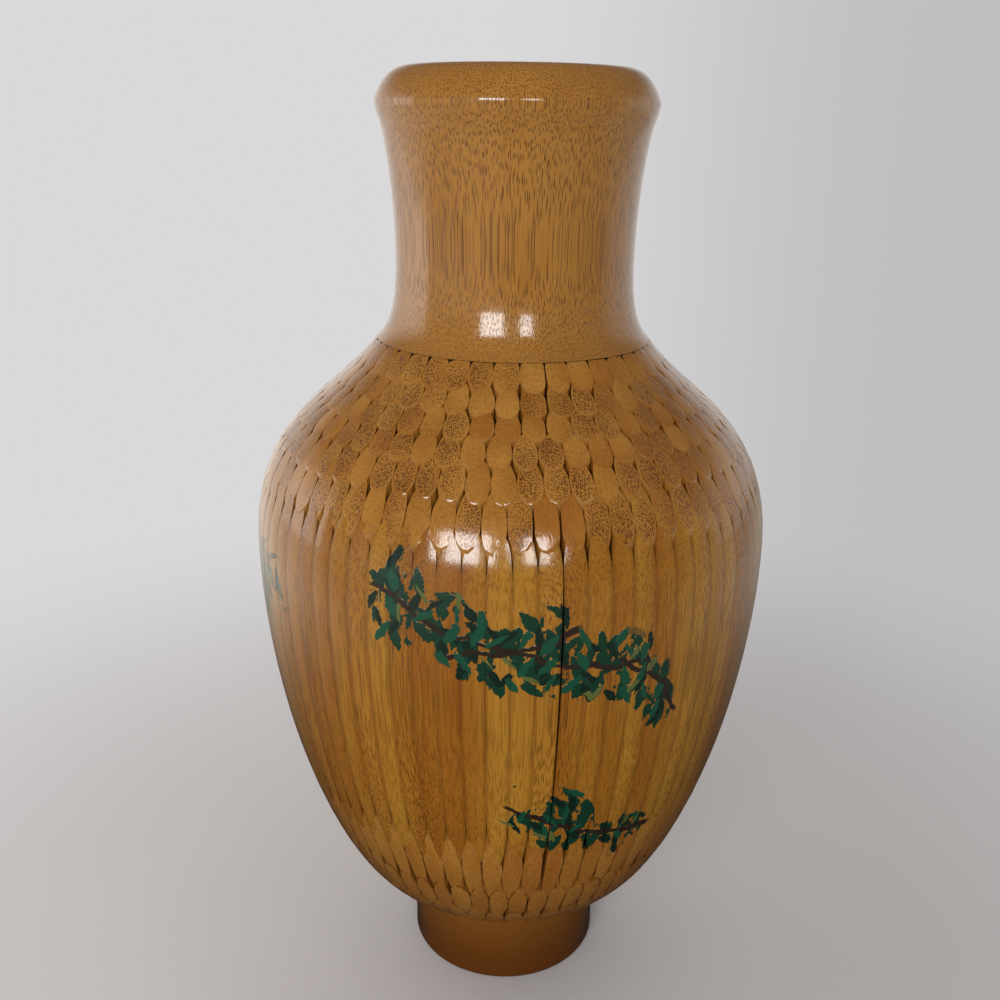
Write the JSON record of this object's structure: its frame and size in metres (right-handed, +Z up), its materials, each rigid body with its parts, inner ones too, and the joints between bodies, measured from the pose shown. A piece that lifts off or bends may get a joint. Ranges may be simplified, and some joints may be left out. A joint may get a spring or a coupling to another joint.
{
  "type": "turned bamboo rod vase",
  "caption": "Tall round-bellied flower vase turned from a bundle of upright bamboo rods glued round a thick bored culm, with a flared neck, a rolled lip and a narrow foot.",
  "frame": {"origin": "centre of the foot's underside, on the surface that the vase stands on", "axes": "+Z up along the vase's axis, -Y towards the front, +X to the right as seen from the front"},
  "size_m": [0.1682, 0.1682, 0.308],
  "materials": {
    "culm": "clear amber lacquer, glossy",
    "rods": "clear amber lacquer, glossy",
    "floor": "dark stain, matt"
  },
  "bodies": {
    "root": {"culm_core": "culm", "floor_disc": "floor", "ring_1_rods_1": "rods", "ring_1_rods_2": "rods", "ring_1_rods_3": "rods", "ring_1_rods_4": "rods", "ring_1_rods_5": "rods", "ring_1_rods_6": "rods", "ring_2_rods_1": "rods", "ring_2_rods_2": "rods", "ring_2_rods_3": "rods", "ring_2_rods_4": "rods", "ring_2_rods_5": "rods", "ring_2_rods_6": "rods", "ring_3_rods_1": "rods", "ring_3_rods_2": "rods", "ring_3_rods_3": "rods", "ring_3_rods_4": "rods", "ring_3_rods_5": "rods", "ring_3_rods_6": "rods", "ring_4_rods_1": "rods", "ring_4_rods_2": "rods", "ring_4_rods_3": "rods", "ring_4_rods_4": "rods", "ring_4_rods_5": "rods", "ring_4_rods_6": "rods", "ring_5_rods_1": "rods", "ring_5_rods_2": "rods", "ring_5_rods_3": "rods", "ring_5_rods_4": "rods", "ring_5_rods_5": "rods", "ring_5_rods_6": "rods", "ring_6_rods_1": "rods", "ring_6_rods_2": "rods", "ring_6_rods_3": "rods", "ring_6_rods_4": "rods", "ring_6_rods_5": "rods", "ring_6_rods_6": "rods", "ring_7_rods_1": "rods", "ring_7_rods_2": "rods", "ring_7_rods_3": "rods", "ring_7_rods_4": "rods", "ring_7_rods_5": "rods", "ring_7_rods_6": "rods"}
  },
  "joints": []
}
